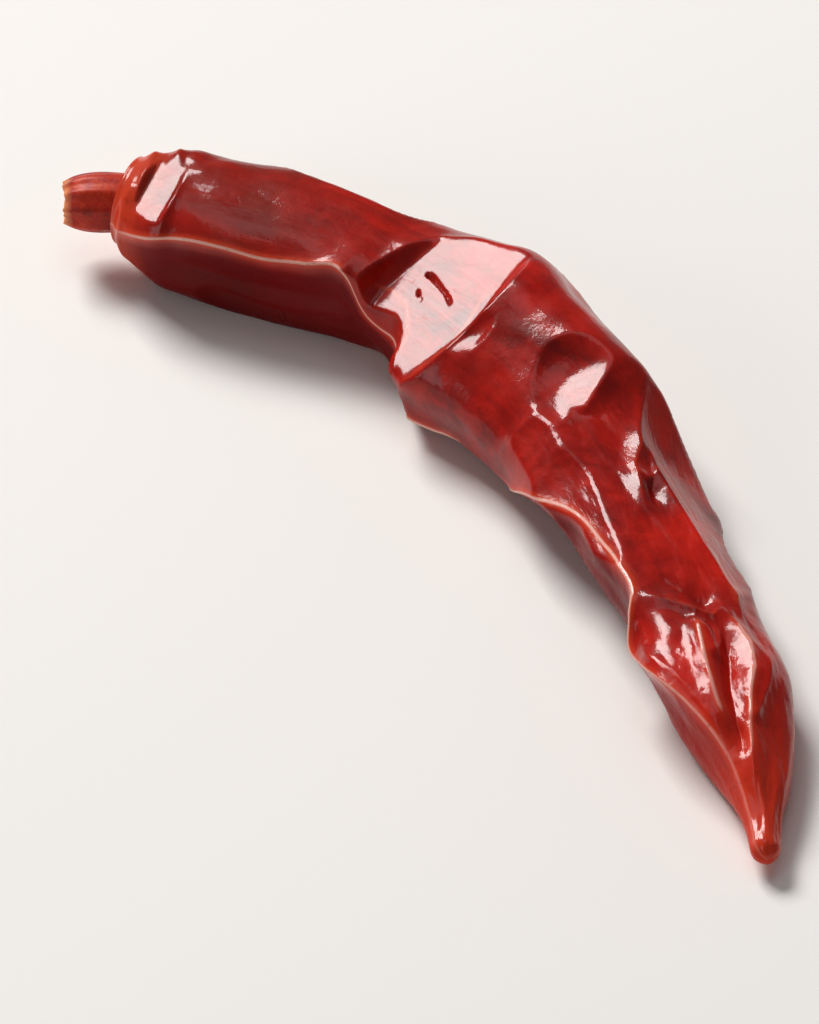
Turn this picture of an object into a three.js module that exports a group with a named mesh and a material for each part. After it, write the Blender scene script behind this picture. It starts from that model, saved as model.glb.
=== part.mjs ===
import * as THREE from 'three';

// A dried chilli pepper lying on its side. The pod is one shrivelled piece, swept along a bent middle
// line. The stub that the torn-off stem left behind stands in the open collar at its thick end.
// Sizes are in millimetres and angles in degrees. An angle round the pod starts on the outside of its
// bend and goes up over the top (90) to the inside of the bend (180) and on underneath (270).

// Driving dimensions
const POD_LENGTH = 67.7;
const TIP_ROUNDING = 0.9;
const MOUTH_RADIUS = 2.1;
const MOUTH_DEPTH = 1.7;
const LIP_RADIUS = 2.35;
const LIP_FLARE = 0.2;
const LIP_LENGTH = 0.9;

// Middle of the part's box on the surface that it lies on
const BOX_MIDDLE = [32.54, 8.558];

// Middle line of the pod: distance from the mouth, then x, y and z
const MIDDLE_LINE = [
  [0, 2.1, 2.9, 3.9],
  [5.8, 7.1, 5.85, 3.55],
  [12.3, 12.4, 9.4, 3.45],
  [18.3, 17.9, 11.5, 3.5],
  [25.2, 25.1, 12.4, 3.7],
  [32.8, 32.7, 12.4, 3.7],
  [41, 40.7, 10.8, 3.5],
  [48.4, 48.1, 8.8, 2.8],
  [55.7, 55.2, 6.5, 2.35],
  [61.2, 60.4, 4.8, 1.8],
  [64.6, 63.4, 3.2, 1.45],
  [67.7, 66, 1.6, 1.35],
];

// The flattened section: distance from the mouth, then half its breadth, half its thickness, and how
// far it is rolled up from level (below 0 its side on the inside of the bend is raised)
const HALF_BREADTH = [
  [0, 2.5],
  [0.4, 3],
  [1.2, 3.25],
  [3, 3.8],
  [4.2, 3.8],
  [7, 3.8],
  [12, 3.75],
  [16, 3.8],
  [18, 4.2],
  [20, 4.9],
  [23, 5.75],
  [27, 5.15],
  [34, 4.95],
  [37, 4.85],
  [41, 4.75],
  [44.5, 4.5],
  [48, 4.05],
  [51, 3.8],
  [54.5, 3.95],
  [58, 3.2],
  [60.5, 2.35],
  [63, 1.5],
  [65, 1.05],
  [67.7, 0.8],
];
const HALF_THICKNESS = [
  [0, 2.45],
  [0.4, 2.8],
  [1.2, 2.95],
  [3.1, 3.5],
  [4.2, 3.48],
  [7, 3.45],
  [12, 3.38],
  [15, 3.14],
  [16.6, 2.98],
  [18.4, 3.3],
  [20.5, 4],
  [23.6, 4.4],
  [25, 4.25],
  [28, 3.85],
  [32.4, 3.45],
  [35.2, 2.6],
  [39, 2.2],
  [44, 2.15],
  [48, 2.2],
  [51, 2.3],
  [54.5, 2.45],
  [58, 2],
  [60.5, 1.6],
  [63, 1.25],
  [65, 0.95],
  [67.7, 0.8],
];
const ROLL = [
  [0, 0],
  [3, 6],
  [7, 8],
  [13, 8],
  [16, 6],
  [19, 8],
  [22, 13],
  [26, 24],
  [30.6, 27],
  [32.2, 23],
  [33.2, 10],
  [34.4, -1],
  [39, -4],
  [43, -5],
  [46, -10],
  [49, -16],
  [51, -16],
  [54, -10],
  [58, -12],
  [62, -18],
  [67.7, -25],
];

// Roundness of the section: 2 is an ellipse, and above it the faces are flatter
const SECTION_POWER = [
  [0, 2.1],
  [1.5, 2.5],
  [4, 3],
  [14, 3],
  [20, 2.7],
  [26, 2.8],
  [34, 2.9],
  [37, 3.6],
  [44, 3.2],
  [48, 2.8],
  [52, 3],
  [58, 2.8],
  [62, 2.3],
  [67.7, 2.1],
];

// Sharp fold that runs down the inside of the bend: distance from the mouth, then angle
const FOLD_ANGLE = [
  [0, 176],
  [1, 170],
  [3.1, 160],
  [5.2, 151],
  [7.1, 149],
  [9.6, 150],
  [12.6, 145],
  [15.2, 140],
  [17, 174],
  [18.5, 185],
  [20.7, 187],
  [22.7, 198],
  [25.6, 202],
  [27.5, 200],
  [30.2, 203],
  [34, 196],
  [36.6, 180],
  [38.9, 168],
  [41.2, 157],
  [43.8, 150],
  [46, 143],
  [48.4, 141],
  [49.6, 151],
  [51, 168],
  [53, 160],
  [55.3, 148],
  [57.4, 140],
  [60, 134],
  [67.7, 134],
];
const FOLD_HEIGHT = [
  [0, 0.15],
  [3, 0.45],
  [14, 0.55],
  [17, 0.75],
  [24, 0.7],
  [36, 0.6],
  [47, 0.55],
  [51, 0.7],
  [57, 0.5],
  [63, 0.2],
  [67.7, 0.05],
];
const FOLD_WIDTH = 0.6;
const UNDERCUT_DEPTH = 0.75;
const UNDERCUT_OFFSET = 34;
const UNDERCUT_SPREAD = 27;
const UNDERCUT_START = [1, 6];
const UNDERCUT_END = [56, 64];

// Creases: each stands out of the skin (height above 0) or sinks into it, along a path of distance
// from the mouth and angle
const CREASES = [
  { height: 0.12, width: 0.5, path: [[0.6, 40], [1, 70], [1.3, 104], [1.8, 138], [2.1, 162]] },
  { height: -0.1, width: 0.35, path: [[1.5, 60], [2, 85], [2.5, 118], [2.8, 148]] },
  { height: 0.2, width: 0.6, path: [[1.9, 40], [2.3, 64], [3.1, 104], [3.7, 132], [3.7, 158]] },
  {
    height: 0.45,
    width: 1,
    path: [[16.4, 146], [17.2, 142], [18, 139], [19.4, 143], [20.2, 150], [21.6, 166], [22.9, 192]],
  },
  {
    height: 0.4,
    width: 1,
    path: [[22.4, 46], [23.3, 88], [23.8, 115], [24.2, 148], [24, 170], [23.1, 194]],
  },
  { height: -2, width: 0.9, path: [[18.9, 90], [19.8, 94], [21.4, 106], [22.6, 122]] },
  { height: -1.95, width: 0.85, path: [[19.4, 116], [19.8, 126], [20.7, 134], [22.1, 137]] },
  { height: 0.34, width: 1.1, path: [[32.6, 64], [33.5, 84], [34.6, 106]] },
  { height: 0.34, width: 1.1, path: [[35.6, 42], [37.8, 60], [39, 77], [40.4, 84], [43, 96]] },
  { height: -0.3, width: 1, path: [[37, 40], [39, 54], [40.6, 64], [42.6, 75]] },
  { height: 0.3, width: 1, path: [[38.8, 37], [40, 58], [40.4, 74]] },
  { height: 0.45, width: 1.2, path: [[36, 40], [40, 34], [44.4, 28], [48.4, 32], [52, 40]] },
  { height: -0.3, width: 1.1, path: [[47.4, 128], [48.9, 104], [49.7, 82], [49.9, 60]] },
  { height: 0.36, width: 0.9, path: [[48.8, 140], [50, 113], [50.8, 94], [51.2, 76], [50.3, 56]] },
  { height: 0.3, width: 0.8, path: [[51.2, 100], [52.8, 92], [54.2, 93], [53.4, 82], [51.6, 76]] },
  { height: 0.5, width: 1.15, path: [[51, 98], [52.8, 103], [55.2, 109], [57.6, 114], [60, 117]] },
  {
    height: 0.35,
    width: 0.9,
    path: [[51.7, 158], [53.6, 146], [55.8, 136], [58, 130], [60.4, 128]],
  },
  {
    height: 0.5,
    width: 1.2,
    path: [
      [49.6, 64], [51.7, 55], [53.7, 51], [55.6, 56],
      [57.3, 70], [59.5, 86], [61.5, 98], [64.2, 106],
    ],
  },
  { height: 0.3, width: 0.9, path: [[53.6, 30], [56.7, 42], [58.4, 62], [59.3, 78]] },
  { height: -0.25, width: 0.9, path: [[52.4, 142], [55, 140], [57.6, 133], [60.6, 128]] },
  { height: -0.45, width: 1.1, path: [[51.8, 68], [54.4, 74], [56.6, 92], [59, 104], [61.6, 112]] },
  { height: 0.4, width: 1.4, path: [[4, 30], [9, 44], [14, 40], [19, 28], [25, 20], [31, 26]] },
  { height: 0.4, width: 1.4, path: [[26, 350], [32, 340], [38, 346], [43, 338]] },
  {
    height: 0.45,
    width: 1.6,
    path: [[3, 250], [8, 238], [14, 246], [20, 232], [27, 242], [34, 236], [41, 246], [48, 234]],
  },
  { height: -0.5, width: 1.6, path: [[8, 334], [13, 322], [17, 330], [21, 318]] },
  { height: 0.4, width: 1.3, path: [[49, 262], [52, 240], [55, 226], [60, 214], [64, 206]] },
  { height: 0.35, width: 1.2, path: [[50, 300], [54, 318], [59, 306], [64, 316]] },
];
const CREASE_SHARPNESS = 1.6;
const CREASE_FADE = 0.22;

// Flat facets that the drying pressed into the skin: place, half its length along the pod and half its
// width round it, how far it is sunk, and how it leans towards the tip and round the pod. Past its
// edge a facet curls up out of the skin.
const FACETS = [
  { at: 2.5, angle: 117, length: 0.9, width: 6, sunk: 0.62, leanAlong: -13, leanRound: -11 },
  { at: 21, angle: 118, length: 3.1, width: 8, sunk: 1.85, leanAlong: -8, leanRound: -6 },
  { at: 17.6, angle: 164, length: 1.4, width: 2.6, sunk: 1, leanAlong: 0, leanRound: 14 },
  { at: 25.8, angle: 143, length: 0.45, width: 1, sunk: 0.15, leanAlong: -3, leanRound: -33 },
  { at: 33.6, angle: 86, length: 1.6, width: 1.7, sunk: -0.1, leanAlong: -2.3, leanRound: 21.8 },
  { at: 37.6, angle: 150, length: 2.6, width: 1.8, sunk: 0.4, leanAlong: 3, leanRound: -24 },
  { at: 41.8, angle: 146, length: 2.6, width: 1.8, sunk: 0.35, leanAlong: 0, leanRound: -24 },
  { at: 45, angle: 178, length: 3.2, width: 3.2, sunk: 0.45, leanAlong: -2, leanRound: 0 },
  { at: 43.4, angle: 44, length: 5, width: 3, sunk: 0.1, leanAlong: 1, leanRound: -4 },
  { at: 12, angle: 10, length: 3.6, width: 3.6, sunk: 0.4, leanAlong: 4, leanRound: 5 },
  { at: 24, angle: 352, length: 3.6, width: 3.6, sunk: 0.5, leanAlong: -5, leanRound: -6 },
  { at: 37, angle: 8, length: 3.6, width: 3.6, sunk: 0.4, leanAlong: 5, leanRound: 4 },
  { at: 31, angle: 232, length: 3.6, width: 3.6, sunk: 0.45, leanAlong: 3, leanRound: -3 },
  { at: 47, angle: 322, length: 3.2, width: 3.2, sunk: 0.4, leanAlong: -4, leanRound: 2 },
  { at: 11, angle: 200, length: 4, width: 4, sunk: 0.3, leanAlong: 0, leanRound: 0 },
];
const FACET_BLEND = 0.16;
const FACET_CURL = 0.16;
const LEAST_SLANT = 0.3;

// The stub: the middle of its torn end, how deep it sits in the mouth, and its radius from the inner
// end (0) to the torn end (1)
const STUB_END = [0, 0, 3.6];
const STUB_DEPTH = 1.2;
const STUB_RADIUS = [
  [0, 1.4],
  [0.3, 1.5],
  [0.44, 1.66],
  [0.58, 1.7],
  [0.72, 1.7],
  [0.84, 1.62],
  [0.93, 1.46],
  [1, 1.22],
];
const FLUTES = 9;
const FLUTE_DEPTH = 0.07;
const FLUTE_WANDER = 20;
const RIM_WIDTH = 0.35;
const RIM_RAGGEDNESS = 0.3;
const PITH_DEPTH = 0.7;
const PITH_LUMPS = 0.22;

// Shallow hollows with raised rims, spread over the whole skin: size of one along and round the pod
const HOLLOW_LENGTH = 5.2;
const HOLLOWS_ROUND = 8;
const HOLLOW_RIM = 0.7;
const HOLLOW_DEPTH = [
  [0, 0.04],
  [4, 0.05],
  [16, 0.05],
  [26, 0.08],
  [44, 0.1],
  [52, 0.11],
  [60, 0.08],
  [67.7, 0.04],
];

// How fine the skins are divided
const POD_COLUMNS = 44;
const RING_STEP = 0.7;
const MOUTH_RINGS = [0.1, 0.35, 0.7, 1.1];
const TIP_RINGS = [0.45, 0.75, 0.93];
const PITH_RINGS = [0.85, 0.55, 0.25];
const FOLD_MIDDLE = 165;
const SHIFT_SPREAD = 60;
const STUB_COLUMNS = 36;
const STUB_RINGS = 12;

const UP = new THREE.Vector3(0, 0, 1);
const radians = THREE.MathUtils.degToRad;

// Value of a table's column at a place between its rows, on a curve that passes through every row
function along(table, at, column = 1) {
  const last = table.length - 1;
  let row = 0;
  while (row < last - 1 && table[row + 1][0] <= at) row += 1;
  const slope = (i) => {
    const before = Math.max(i - 1, 0);
    const after = Math.min(i + 1, last);
    return (table[after][column] - table[before][column]) / (table[after][0] - table[before][0]);
  };
  const span = table[row + 1][0] - table[row][0];
  const t = THREE.MathUtils.clamp((at - table[row][0]) / span, 0, 1);
  const rest = 1 - t;
  return (
    rest * rest * (1 + 2 * t) * table[row][column] +
    t * t * (3 - 2 * t) * table[row + 1][column] +
    t * rest * span * (rest * slope(row) - t * slope(row + 1))
  );
}

// Point on the middle line with the level directions along it and out of the bend
function middleAt(at) {
  const reach = 0.05;
  const centre = new THREE.Vector3(...[1, 2, 3].map((column) => along(MIDDLE_LINE, at, column)));
  const ahead = new THREE.Vector3(
    along(MIDDLE_LINE, at + reach, 1) - along(MIDDLE_LINE, at - reach, 1),
    along(MIDDLE_LINE, at + reach, 2) - along(MIDDLE_LINE, at - reach, 2),
    0,
  ).normalize();
  return { centre, ahead, out: new THREE.Vector3(-ahead.y, ahead.x, 0) };
}

// Shortest way round from one angle to another, between -180 and 180
function turn(angle) {
  return THREE.MathUtils.euclideanModulo(angle + 180, 360) - 180;
}

// Radius of the plain flattened section, before any fold or crease
function plainRadius(at, angle) {
  const rolled = radians(angle - along(ROLL, at));
  const cosine = Math.abs(Math.cos(rolled)) / along(HALF_BREADTH, at);
  const sine = Math.abs(Math.sin(rolled)) / along(HALF_THICKNESS, at);
  const power = along(SECTION_POWER, at);
  return (cosine ** power + sine ** power) ** (-1 / power);
}

// How far a crease stands out at a place: sharp at its line, flat at its width, and fading to its ends
function creaseHeight({ height, width, path }, at, angle, perDegree) {
  let nearest = Infinity;
  let shareThere = 0;
  for (let i = 0; i + 1 < path.length; i += 1) {
    const startAlong = path[i][0] - at;
    const startRound = turn(path[i][1] - angle) * perDegree;
    const stepAlong = path[i + 1][0] - path[i][0];
    const stepRound = (path[i + 1][1] - path[i][1]) * perDegree;
    const share = -(startAlong * stepAlong + startRound * stepRound) / (stepAlong ** 2 + stepRound ** 2);
    const t = THREE.MathUtils.clamp(share, 0, 1);
    const distance = Math.hypot(startAlong + t * stepAlong, startRound + t * stepRound);
    if (distance < nearest) {
      nearest = distance;
      shareThere = (i + t) / (path.length - 1);
    }
  }
  const fromEnd = Math.min(shareThere, 1 - shareThere);
  const fade = THREE.MathUtils.smoothstep(fromEnd, -0.05, CREASE_FADE);
  return height * fade * Math.max(0, 1 - nearest / width) ** CREASE_SHARPNESS;
}

// A repeatable number between 0 and 1 for a cell of the skin
function chance(row, column, salt) {
  const value = Math.sin(row * 127.1 + column * 311.7 + salt * 74.7) * 43758.5453;
  return value - Math.floor(value);
}

// How far a place lies inside its hollow: 0 on the rim between two hollows, towards 1 in the middle
function insideHollow(at, angle) {
  const row = at / HOLLOW_LENGTH;
  const column = (THREE.MathUtils.euclideanModulo(angle, 360) / 360) * HOLLOWS_ROUND;
  let first = Infinity;
  let second = Infinity;
  for (let i = Math.floor(row) - 1; i <= Math.floor(row) + 1; i += 1) {
    for (let j = Math.floor(column) - 1; j <= Math.floor(column) + 1; j += 1) {
      const wrapped = THREE.MathUtils.euclideanModulo(j, HOLLOWS_ROUND);
      const down = i + 0.1 + 0.8 * chance(i, wrapped, 1) - row;
      const across = j + 0.1 + 0.8 * chance(i, wrapped, 2) - column;
      const distance = Math.hypot(down, across);
      second = Math.min(second, Math.max(first, distance));
      first = Math.min(first, distance);
    }
  }
  return THREE.MathUtils.smoothstep(second - first, 0, HOLLOW_RIM);
}

// Radius with the fold, creases and hollows
function shrivelledRadius(at, angle) {
  const plain = plainRadius(at, angle);
  const perDegree = radians(plain);
  const foldAngle = turn(angle - along(FOLD_ANGLE, at));
  const fold = along(FOLD_HEIGHT, at) * Math.exp((-Math.abs(foldAngle) * perDegree) / FOLD_WIDTH);
  const under = (foldAngle - UNDERCUT_OFFSET) / UNDERCUT_SPREAD;
  const begun = THREE.MathUtils.smoothstep(at, ...UNDERCUT_START);
  const ended = THREE.MathUtils.smoothstep(at, ...UNDERCUT_END);
  const undercut = UNDERCUT_DEPTH * begun * (1 - ended) * Math.exp(-under * under);
  let radius = plain + fold - undercut;
  for (const crease of CREASES) radius += creaseHeight(crease, at, angle, perDegree);
  return radius - along(HOLLOW_DEPTH, at) * insideHollow(at, angle);
}

// Point of the pod's frame at a radius
function placeAt(at, angle, radius) {
  const { centre, out } = middleAt(at);
  return centre
    .addScaledVector(out, radius * Math.cos(radians(angle)))
    .addScaledVector(UP, radius * Math.sin(radians(angle)));
}

// The plane of each facet: a point on it and the way it faces
const facetPlanes = FACETS.map(({ at, angle, length, width, sunk, leanAlong, leanRound }) => {
  const { ahead, out } = middleAt(at);
  const cosine = Math.cos(radians(angle));
  const sine = Math.sin(radians(angle));
  const outward = out.clone().multiplyScalar(cosine).addScaledVector(UP, sine);
  const round = out.clone().multiplyScalar(-sine).addScaledVector(UP, cosine);
  const facing = outward
    .clone()
    .addScaledVector(ahead, Math.tan(radians(leanAlong)))
    .addScaledVector(round, Math.tan(radians(leanRound)))
    .normalize();
  const point = placeAt(at, angle, plainRadius(at, angle) - sunk);
  return { point, facing, ahead, round, length, width };
});

// Radius after the facets have cut it back, with slightly eased edges
function cutBack(at, angle, radius) {
  const { out } = middleAt(at);
  const outward = out
    .multiplyScalar(Math.cos(radians(angle)))
    .addScaledVector(UP, Math.sin(radians(angle)));
  const start = placeAt(at, angle, radius);
  let cut = radius;
  for (const { point, facing, ahead, round, length, width } of facetPlanes) {
    const offset = start.clone().sub(point);
    const spread = Math.hypot(offset.dot(ahead) / length, offset.dot(round) / width);
    const curl = FACET_CURL * (Math.max(0, spread - 1) * width) ** 2;
    const slant = Math.max(outward.dot(facing), LEAST_SLANT);
    const reach = radius - (offset.dot(facing) - curl) / slant;
    if (reach > cut + FACET_BLEND) continue;
    const mix = THREE.MathUtils.clamp(0.5 + (cut - reach) / (2 * FACET_BLEND), 0, 1);
    cut = THREE.MathUtils.lerp(cut, reach, mix) - (FACET_BLEND / 2) * mix * (1 - mix);
  }
  return cut;
}

// Point of the skin, rounded off at the tip and no lower than the surface that the pod lies on
function skinPoint(at, angle) {
  const radius = cutBack(at, angle, shrivelledRadius(at, angle));
  const intoTip = THREE.MathUtils.clamp((at - POD_LENGTH + TIP_ROUNDING) / TIP_ROUNDING, 0, 1);
  const lip = THREE.MathUtils.smoothstep(at, 0, LIP_LENGTH);
  const rounded = radius * Math.sqrt(1 - intoTip * intoTip);
  const point = placeAt(at, angle, THREE.MathUtils.lerp(LIP_RADIUS + LIP_FLARE, rounded, lip));
  point.z = Math.max(point.z, 0);
  return point;
}

// Closed skin over a row of rings that have the same number of points, with a point at each end
function closedSkin(rings, first, last) {
  const columns = rings[0].length;
  const points = [first, ...rings.flat(), last];
  const faces = [];
  for (let j = 0; j < columns; j += 1) {
    const next = (j + 1) % columns;
    faces.push(0, 1 + next, 1 + j);
    for (let i = 0; i + 1 < rings.length; i += 1) {
      const here = 1 + i * columns;
      const there = here + columns;
      faces.push(here + j, here + next, there + next, here + j, there + next, there + j);
    }
    const end = 1 + (rings.length - 1) * columns;
    faces.push(end + j, end + next, points.length - 1);
  }
  const shift = new THREE.Vector3(-BOX_MIDDLE[0], -BOX_MIDDLE[1], 0);
  const geometry = new THREE.BufferGeometry();
  geometry.setFromPoints(points.map((point) => point.clone().add(shift)));
  geometry.setIndex(faces);
  geometry.computeVertexNormals();
  return geometry;
}

// Ring of points round the middle line. Those near the sharp fold move over so that one is on it.
function podRing(at, pointAt) {
  const shift = along(FOLD_ANGLE, at) - FOLD_MIDDLE;
  return Array.from({ length: POD_COLUMNS }, (_, j) => {
    const fromMiddle = turn((360 * j) / POD_COLUMNS);
    return pointAt(FOLD_MIDDLE + fromMiddle + shift * Math.exp(-((fromMiddle / SHIFT_SPREAD) ** 2)));
  });
}

function makePod() {
  const socket = [
    [MOUTH_DEPTH, MOUTH_RADIUS - 0.1],
    [MOUTH_DEPTH / 2, MOUTH_RADIUS],
    [0.12, MOUTH_RADIUS],
    [0, LIP_RADIUS],
  ];
  const inside = socket.map(([at, radius]) =>
    podRing(0, (angle) => placeAt(at, angle, radius)),
  );
  const rings = [];
  for (const at of MOUTH_RINGS) rings.push(at);
  const start = MOUTH_RINGS[MOUTH_RINGS.length - 1];
  const body = POD_LENGTH - TIP_ROUNDING - start;
  const steps = Math.round(body / RING_STEP);
  for (let i = 1; i <= steps; i += 1) rings.push(start + (body * i) / steps);
  for (const share of TIP_RINGS) rings.push(POD_LENGTH - TIP_ROUNDING * (1 - share));
  const outside = rings.map((at) => podRing(at, (angle) => skinPoint(at, angle)));
  const { centre: floor } = middleAt(MOUTH_DEPTH);
  const { centre: tip } = middleAt(POD_LENGTH);
  return closedSkin([...inside, ...outside], floor, tip);
}

// Point on the stub: share of the way to the torn end, angle round it, share of its radius there,
// and a shift along it
function stubPoint(share, angle, radiusShare, shift) {
  const inner = middleAt(STUB_DEPTH).centre;
  const mouth = middleAt(0).centre;
  const end = new THREE.Vector3(...STUB_END);
  const line = new THREE.QuadraticBezierCurve3(inner, mouth, end);
  const ahead = line.getTangent(share);
  const side = ahead.clone().cross(UP).normalize();
  const over = side.clone().cross(ahead);
  const wander = FLUTE_WANDER * Math.sin(radians(3 * angle));
  const flute = FLUTE_DEPTH * share * Math.cos(radians(FLUTES * angle + wander));
  const radius = (along(STUB_RADIUS, share) + flute) * radiusShare;
  return line
    .getPoint(share)
    .addScaledVector(side, radius * Math.cos(radians(angle)))
    .addScaledVector(over, radius * Math.sin(radians(angle)))
    .addScaledVector(ahead, shift);
}

// Ring of points round the stub
function stubRing(share, radiusShare, shiftAt) {
  return Array.from({ length: STUB_COLUMNS }, (_, j) => {
    const angle = (360 * j) / STUB_COLUMNS;
    return stubPoint(share, angle, radiusShare, shiftAt(j));
  });
}

function makeStub() {
  const rings = [];
  for (let i = 0; i <= STUB_RINGS; i += 1) {
    const share = i / STUB_RINGS;
    const ragged = (j) => RIM_RAGGEDNESS * (chance(3, j, 5) - 0.5) * share ** 6;
    rings.push(stubRing(share, 1, ragged));
  }
  const rimShare = 1 - RIM_WIDTH / along(STUB_RADIUS, 1);
  rings.push(stubRing(1, rimShare, (j) => RIM_RAGGEDNESS * (chance(4, j, 5) - 0.5) - 0.05));
  const lumps = (row) => (j) => PITH_LUMPS * chance(row, j, 7) - PITH_DEPTH;
  PITH_RINGS.forEach((ring, i) => rings.push(stubRing(1, rimShare * ring, lumps(i))));
  const inner = stubPoint(0, 0, 0, 0);
  const pith = stubPoint(1, 0, 0, PITH_LUMPS / 2 - PITH_DEPTH);
  return closedSkin(rings.map((ring) => ring.toReversed()), inner, pith);
}

const skinFinish = { color: 0x7c1410, roughness: 0.3, metalness: 0 };
const stubFinish = { color: 0x8a4a22, roughness: 0.7, metalness: 0 };

const group = new THREE.Group();
for (const [name, geometry, finish] of [
  ['pod', makePod(), skinFinish],
  ['stem_base', makeStub(), stubFinish],
]) {
  const mesh = new THREE.Mesh(geometry, new THREE.MeshStandardMaterial(finish));
  mesh.name = name;
  group.add(mesh);
}

export default group;
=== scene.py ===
import math

import bpy
import numpy as np
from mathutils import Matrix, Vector


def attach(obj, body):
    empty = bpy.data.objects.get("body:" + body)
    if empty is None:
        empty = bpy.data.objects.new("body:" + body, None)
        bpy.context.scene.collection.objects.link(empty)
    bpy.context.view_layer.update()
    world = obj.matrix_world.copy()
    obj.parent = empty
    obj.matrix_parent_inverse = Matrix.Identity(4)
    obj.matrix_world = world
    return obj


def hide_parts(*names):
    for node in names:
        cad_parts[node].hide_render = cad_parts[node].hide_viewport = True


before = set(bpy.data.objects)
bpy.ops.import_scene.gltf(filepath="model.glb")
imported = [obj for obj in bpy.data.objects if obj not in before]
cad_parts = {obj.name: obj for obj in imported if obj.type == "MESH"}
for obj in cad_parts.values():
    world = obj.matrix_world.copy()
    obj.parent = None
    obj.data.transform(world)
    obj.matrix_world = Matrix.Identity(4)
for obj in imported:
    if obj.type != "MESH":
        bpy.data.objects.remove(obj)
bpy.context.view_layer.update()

# A dried chilli pepper lying on its side on a pale floor. The pod's skin and the torn stem base follow
# the same rules as the solids they replace, on a finer grid and with finer wrinkles.
# Lengths in the shape tables are millimetres and angles are degrees, as in the solid's source. An angle
# round the pod starts on the outside of its bend, goes up over the top (90) to the inside (180).

MM = 0.001

# Driving dimensions of the pod
POD_LENGTH = 67.7
TIP_ROUNDING = 0.9
MOUTH_RADIUS = 2.1
MOUTH_DEPTH = 1.7
LIP_RADIUS = 2.35
LIP_FLARE = 0.2
LIP_LENGTH = 0.9
BOX_MIDDLE = (32.54, 8.558)

# Middle line of the pod: distance from the mouth, then x, y and z
MIDDLE_LINE = [
    (0, 2.1, 2.9, 3.9), (5.8, 7.1, 5.85, 3.55), (12.3, 12.4, 9.4, 3.45), (18.3, 17.9, 11.5, 3.5),
    (25.2, 25.1, 12.4, 3.7), (32.8, 32.7, 12.4, 3.7), (41.0, 40.7, 10.8, 3.5), (48.4, 48.1, 8.8, 2.8),
    (55.7, 55.2, 6.5, 2.35), (61.2, 60.4, 4.8, 1.8), (64.6, 63.4, 3.2, 1.45), (67.7, 66.0, 1.6, 1.35),
]

# The flattened section: half its breadth towards the fold, half its thickness, and how far it is rolled
# up from level (below 0 the side on the inside of the bend is raised)
HALF_BREADTH = [
    (0, 2.5), (0.4, 3.0), (1.2, 3.25), (3.0, 3.8), (4.2, 3.8), (7, 3.8), (12, 3.75), (16, 3.8), (18, 4.2),
    (20, 4.9), (23, 5.75), (27, 5.15), (34, 4.95), (37, 4.85), (41, 4.75), (44.5, 4.5), (48, 4.05),
    (51, 3.8), (54.5, 3.95), (58, 3.2), (60.5, 2.35), (63, 1.5), (65, 1.05), (67.7, 0.8),
]
HALF_THICKNESS = [
    (0, 2.45), (0.4, 2.8), (1.2, 2.95), (3.1, 3.5), (4.2, 3.48), (7, 3.45), (12, 3.38), (15, 3.14),
    (16.6, 2.98), (18.4, 3.3), (20.5, 4.0), (23.6, 4.4), (25, 4.25), (28, 3.85), (32.4, 3.45),
    (35.2, 2.6), (39, 2.2), (44, 2.15), (48, 2.2), (51, 2.3), (54.5, 2.45), (58, 2.0), (60.5, 1.6),
    (63, 1.25), (65, 0.95), (67.7, 0.8),
]
ROLL = [
    (0, 0), (3, 6), (7, 8), (13, 8), (16, 6), (19, 8), (22, 13), (26, 24), (30.6, 27), (32.2, 23),
    (33.2, 10), (34.4, -1), (39, -4), (43, -5), (46, -10), (49, -16), (51, -16), (54, -10), (58, -12),
    (62, -18), (67.7, -25),
]
SECTION_POWER = [
    (0, 2.1), (1.5, 2.5), (4, 3.0), (14, 3.0), (20, 2.7), (26, 2.8), (34, 2.9), (37, 3.6), (44, 3.2),
    (48, 2.8), (52, 3.0), (58, 2.8), (62, 2.3), (67.7, 2.1),
]

# Sharp fold that runs down the inside of the bend: distance from the mouth, then angle or height
FOLD_ANGLE = [
    (0, 176), (1, 170), (3.1, 160), (5.2, 151), (7.1, 149), (9.6, 150), (12.6, 145), (15.2, 140),
    (17, 174), (18.5, 185), (20.7, 187), (22.7, 198),
    (25.6, 202), (27.5, 200), (30.2, 203), (34, 196), (36.6, 180), (38.9, 168), (41.2, 157), (43.8, 150),
    (46, 143), (48.4, 141), (49.6, 151), (51, 168), (53, 160), (55.3, 148), (57.4, 140), (60, 134),
    (67.7, 134),
]
FOLD_HEIGHT = [
    (0, 0.15), (3, 0.45), (14, 0.55), (17, 0.75), (24, 0.7), (36, 0.6), (47, 0.55), (51, 0.7), (57, 0.5),
    (63, 0.2), (67.7, 0.05),
]
FOLD_WIDTH = 0.6
UNDERCUT_DEPTH = 0.75
UNDERCUT_OFFSET = 34
UNDERCUT_SPREAD = 27
UNDERCUT_START = (1, 6)
UNDERCUT_END = (56, 64)

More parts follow.
